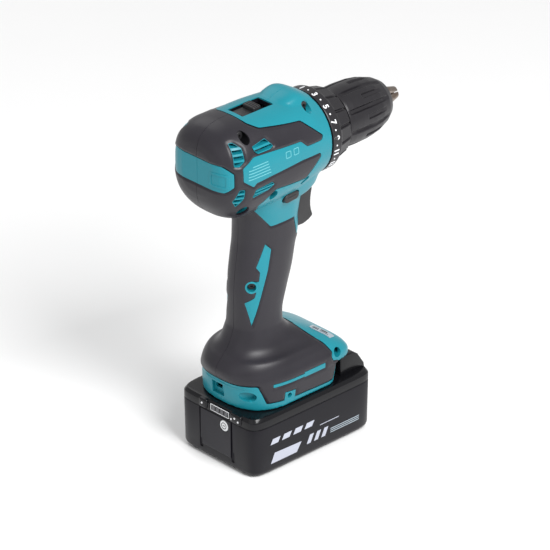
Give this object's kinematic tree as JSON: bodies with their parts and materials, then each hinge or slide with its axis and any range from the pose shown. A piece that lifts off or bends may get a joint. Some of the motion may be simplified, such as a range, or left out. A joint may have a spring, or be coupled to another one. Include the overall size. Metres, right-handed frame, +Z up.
{
  "type": "cordless drill",
  "caption": "Pistol-grip cordless driver drill with a keyless chuck, numbered torque ring, speed selector, trigger and a thick slide-on battery pack.",
  "frame": {"origin": "centre of the bounding box in plan, at the underside of the battery", "axes": "+X towards the chuck along the spindle, +Y to the left side of the drill, +Z up"},
  "size_m": [0.182, 0.075, 0.26],
  "materials": {
    "black_plastic": "polished black",
    "board_green": "solder-masked board",
    "brass": "stamped",
    "cell_wrap": "shrink sleeve",
    "copper": "lacquered copper wire",
    "dark_rubber": "soft-touch charcoal",
    "dark_steel": "blackened, slightly brown",
    "grey_plastic": "fine matt black-grey",
    "lens": "clear moulded lens",
    "silver_badge": "plain plate",
    "steel": "turned",
    "teal_plastic": "satin moulded teal"
  },
  "bodies": {
    "housing": {"housing_left": "teal_plastic", "housing_right": "teal_plastic", "overmould_left": "dark_rubber", "overmould_right": "dark_rubber", "switch_body": "black_plastic", "led_lamp": "lens", "base_badge": "silver_badge", "gear_case": "grey_plastic", "ring_gear_1": "dark_steel", "ring_gear_3": "dark_steel", "spindle_bearing_front": "steel", "spindle_bearing_rear": "steel", "clutch_plate": "steel", "clutch_spring": "steel", "trigger_spring": "steel", "stator_core": "dark_steel", "stator_coils": "copper", "motor_bearing_front": "steel", "motor_bearing_rear": "steel", "motor_bracket": "grey_plastic", "controller": "board_green", "terminal_block": "grey_plastic"},
    "rotor": {"rotor_core": "steel", "rotor_shaft": "steel", "cooling_fan": "black_plastic"},
    "first_carrier": {"carrier_1": "dark_steel"},
    "second_carrier": {"carrier_2": "dark_steel"},
    "spindle": {"output_spindle": "steel", "chuck_body": "steel", "chuck_screw": "dark_steel"},
    "torque_ring": {"torque_ring": "dark_rubber"},
    "adjusting_nut": {"adjusting_nut": "grey_plastic"},
    "speed_selector": {"speed_selector": "grey_plastic"},
    "shift_ring": {"ring_gear_2": "dark_steel", "selector_fork": "steel"},
    "trigger": {"trigger": "grey_plastic"},
    "direction_lever": {"direction_lever": "grey_plastic"},
    "battery": {"battery_lower_case": "black_plastic", "battery_upper_case": "black_plastic", "battery_cells": "cell_wrap", "battery_board": "board_green", "battery_contacts": "brass", "gauge_window": "lens"},
    "release_button": {"release_button": "grey_plastic"},
    "gauge_button": {"gauge_button": "grey_plastic"},
    "chuck_sleeve": {"chuck_sleeve": "dark_rubber", "chuck_nut": "steel"},
    "jaw_1": {"chuck_jaw_1": "dark_steel"},
    "jaw_2": {"chuck_jaw_2": "dark_steel"},
    "jaw_3": {"chuck_jaw_3": "dark_steel"},
    "planet_1_1": {"planet_1_1": "dark_steel"},
    "planet_1_2": {"planet_1_2": "dark_steel"},
    "planet_1_3": {"planet_1_3": "dark_steel"},
    "planet_2_1": {"planet_2_1": "dark_steel"},
    "planet_2_2": {"planet_2_2": "dark_steel"},
    "planet_2_3": {"planet_2_3": "dark_steel"},
    "planet_3_1": {"planet_3_1": "dark_steel"},
    "planet_3_2": {"planet_3_2": "dark_steel"},
    "planet_3_3": {"planet_3_3": "dark_steel"}
  },
  "joints": [
    {"name": "rotor_spin", "type": "hinge", "parent": "housing", "child": "rotor", "pos_m": [0, 0, 0.222], "axis": [1, 0, 0], "continuous": true},
    {"name": "first_carrier_spin", "type": "hinge", "parent": "housing", "child": "first_carrier", "pos_m": [0, 0, 0.222], "axis": [1, 0, 0], "continuous": true},
    {"name": "second_carrier_spin", "type": "hinge", "parent": "housing", "child": "second_carrier", "pos_m": [0, 0, 0.222], "axis": [1, 0, 0], "continuous": true},
    {"name": "spindle_spin", "type": "hinge", "parent": "housing", "child": "spindle", "pos_m": [0, 0, 0.222], "axis": [1, 0, 0], "continuous": true},
    {"name": "planet_1_1_spin", "type": "hinge", "parent": "first_carrier", "child": "planet_1_1", "pos_m": [-0.033, 0.01291, 0.222], "axis": [1, 0, 0], "continuous": true},
    {"name": "planet_1_2_spin", "type": "hinge", "parent": "first_carrier", "child": "planet_1_2", "pos_m": [-0.033, -0.00646, 0.23318], "axis": [1, 0, 0], "continuous": true},
    {"name": "planet_1_3_spin", "type": "hinge", "parent": "first_carrier", "child": "planet_1_3", "pos_m": [-0.033, -0.00646, 0.21082], "axis": [1, 0, 0], "continuous": true},
    {"name": "planet_2_1_spin", "type": "hinge", "parent": "second_carrier", "child": "planet_2_1", "pos_m": [-0.0235, 0.01291, 0.222], "axis": [1, 0, 0], "continuous": true},
    {"name": "planet_2_2_spin", "type": "hinge", "parent": "second_carrier", "child": "planet_2_2", "pos_m": [-0.0235, -0.00646, 0.23318], "axis": [1, 0, 0], "continuous": true},
    {"name": "planet_2_3_spin", "type": "hinge", "parent": "second_carrier", "child": "planet_2_3", "pos_m": [-0.0235, -0.00646, 0.21082], "axis": [1, 0, 0], "continuous": true},
    {"name": "planet_3_1_spin", "type": "hinge", "parent": "spindle", "child": "planet_3_1", "pos_m": [-0.014, 0.01291, 0.222], "axis": [1, 0, 0], "continuous": true},
    {"name": "planet_3_2_spin", "type": "hinge", "parent": "spindle", "child": "planet_3_2", "pos_m": [-0.014, -0.00646, 0.23318], "axis": [1, 0, 0], "continuous": true},
    {"name": "planet_3_3_spin", "type": "hinge", "parent": "spindle", "child": "planet_3_3", "pos_m": [-0.014, -0.00646, 0.21082], "axis": [1, 0, 0], "continuous": true},
    {"name": "torque_ring_turn", "type": "hinge", "parent": "housing", "child": "torque_ring", "pos_m": [0, 0, 0.222], "axis": [1, 0, 0], "range_deg": [-300, 0], "deforming": ["clutch_spring"]},
    {"name": "adjusting_nut_slide", "type": "slide", "parent": "housing", "child": "adjusting_nut", "axis": [-1, 0, 0], "range_m": [0, 0.005]},
    {"name": "speed_selector_slide", "type": "slide", "parent": "housing", "child": "speed_selector", "axis": [1, 0, 0], "range_m": [0, 0.008]},
    {"name": "shift_ring_slide", "type": "slide", "parent": "housing", "child": "shift_ring", "axis": [-1, 0, 0], "range_m": [0, 0.0022]},
    {"name": "trigger_pull", "type": "slide", "parent": "housing", "child": "trigger", "axis": [-1, 0, 0], "range_m": [0, 0.0065], "stiffness_N_per_m": 1200, "springref_m": -0.002, "deforming": ["trigger_spring"]},
    {"name": "direction_lever_slide", "type": "slide", "parent": "housing", "child": "direction_lever", "axis": [0, 1, 0], "range_m": [-0.003, 0.003]},
    {"name": "battery_slide", "type": "slide", "parent": "housing", "child": "battery", "axis": [1, 0, 0], "range_m": [0, 0.08]},
    {"name": "release_button_press", "type": "slide", "parent": "battery", "child": "release_button", "axis": [0, 0, -1], "range_m": [0, 0.004], "stiffness_N_per_m": 600, "springref_m": -0.002},
    {"name": "gauge_button_press", "type": "slide", "parent": "battery", "child": "gauge_button", "axis": [1, 0, 0], "range_m": [0, 0.001], "stiffness_N_per_m": 600, "springref_m": -0.0005},
    {"name": "chuck_sleeve_turn", "type": "hinge", "parent": "spindle", "child": "chuck_sleeve", "pos_m": [0, 0, 0.222], "axis": [1, 0, 0], "range_deg": [0, 3600]},
    {"name": "jaw_1_slide", "type": "slide", "parent": "spindle", "child": "jaw_1", "axis": [-0.9613, 0, 0.2756], "range_m": [0, 0.0235]},
    {"name": "jaw_2_slide", "type": "slide", "parent": "spindle", "child": "jaw_2", "axis": [-0.9613, -0.2387, -0.1378], "range_m": [0, 0.0235]},
    {"name": "jaw_3_slide", "type": "slide", "parent": "spindle", "child": "jaw_3", "axis": [-0.9613, 0.2387, -0.1378], "range_m": [0, 0.0235]}
  ],
  "couplings": [
    {"joint": "first_carrier_spin", "follows": "rotor_spin", "ratio": 0.28571},
    {"joint": "second_carrier_spin", "follows": "rotor_spin", "ratio": 0.081633},
    {"joint": "spindle_spin", "follows": "rotor_spin", "ratio": 0.023324},
    {"joint": "planet_1_1_spin", "follows": "rotor_spin", "ratio": -0.95238},
    {"joint": "planet_1_2_spin", "follows": "rotor_spin", "ratio": -0.95238},
    {"joint": "planet_1_3_spin", "follows": "rotor_spin", "ratio": -0.95238},
    {"joint": "planet_2_1_spin", "follows": "rotor_spin", "ratio": -0.27211},
    {"joint": "planet_2_2_spin", "follows": "rotor_spin", "ratio": -0.27211},
    {"joint": "planet_2_3_spin", "follows": "rotor_spin", "ratio": -0.27211},
    {"joint": "planet_3_1_spin", "follows": "rotor_spin", "ratio": -0.077745},
    {"joint": "planet_3_2_spin", "follows": "rotor_spin", "ratio": -0.077745},
    {"joint": "planet_3_3_spin", "follows": "rotor_spin", "ratio": -0.077745},
    {"joint": "adjusting_nut_slide", "follows": "torque_ring_turn", "m_per_rad": -0.00095},
    {"joint": "shift_ring_slide", "follows": "speed_selector_slide", "ratio": 0.27},
    {"joint": "jaw_1_slide", "follows": "chuck_sleeve_turn", "m_per_rad": 0.000366},
    {"joint": "jaw_2_slide", "follows": "chuck_sleeve_turn", "m_per_rad": 0.000366},
    {"joint": "jaw_3_slide", "follows": "chuck_sleeve_turn", "m_per_rad": 0.000366}
  ]
}
